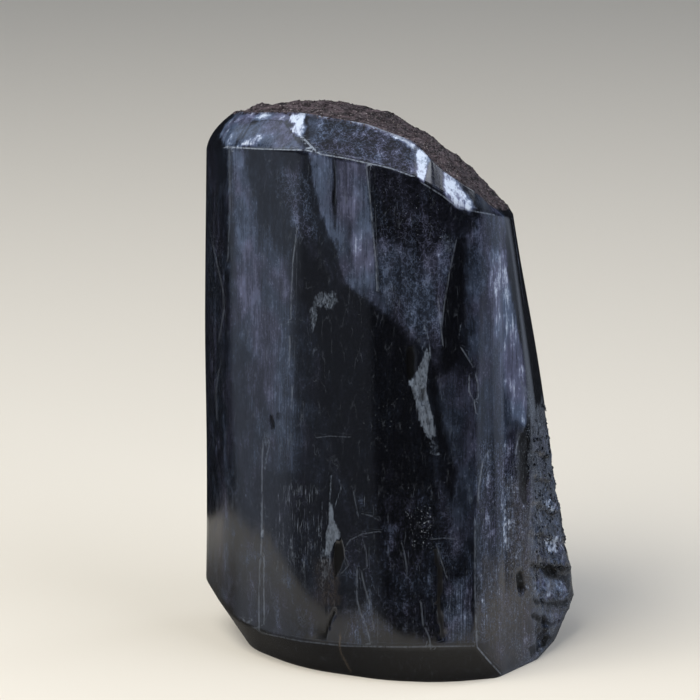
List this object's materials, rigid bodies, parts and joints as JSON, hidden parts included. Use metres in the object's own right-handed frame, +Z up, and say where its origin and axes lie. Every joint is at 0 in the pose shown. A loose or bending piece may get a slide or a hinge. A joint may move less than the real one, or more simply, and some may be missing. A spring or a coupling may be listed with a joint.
{
  "type": "tourmaline crystal",
  "caption": "Polished black tourmaline standing stone: ground sides, faceted bevel under a rough domed natural top, and a broken stepped patch low on one side.",
  "frame": {"origin": "on the resting surface, under the middle of the stone's box", "axes": "+Z up along the crystal's length; -Y is the front of the picture; +X to the right of the front, where the stone is lower and leans out at its foot"},
  "size_m": [0.0544, 0.0392, 0.0803],
  "materials": {
    "polished_schorl": "hand-polished near-black schorl with blue-grey sheen, frosted flecks and a matt natural top"
  },
  "bodies": {
    "root": {"tourmaline_crystal": "polished_schorl"}
  },
  "joints": []
}
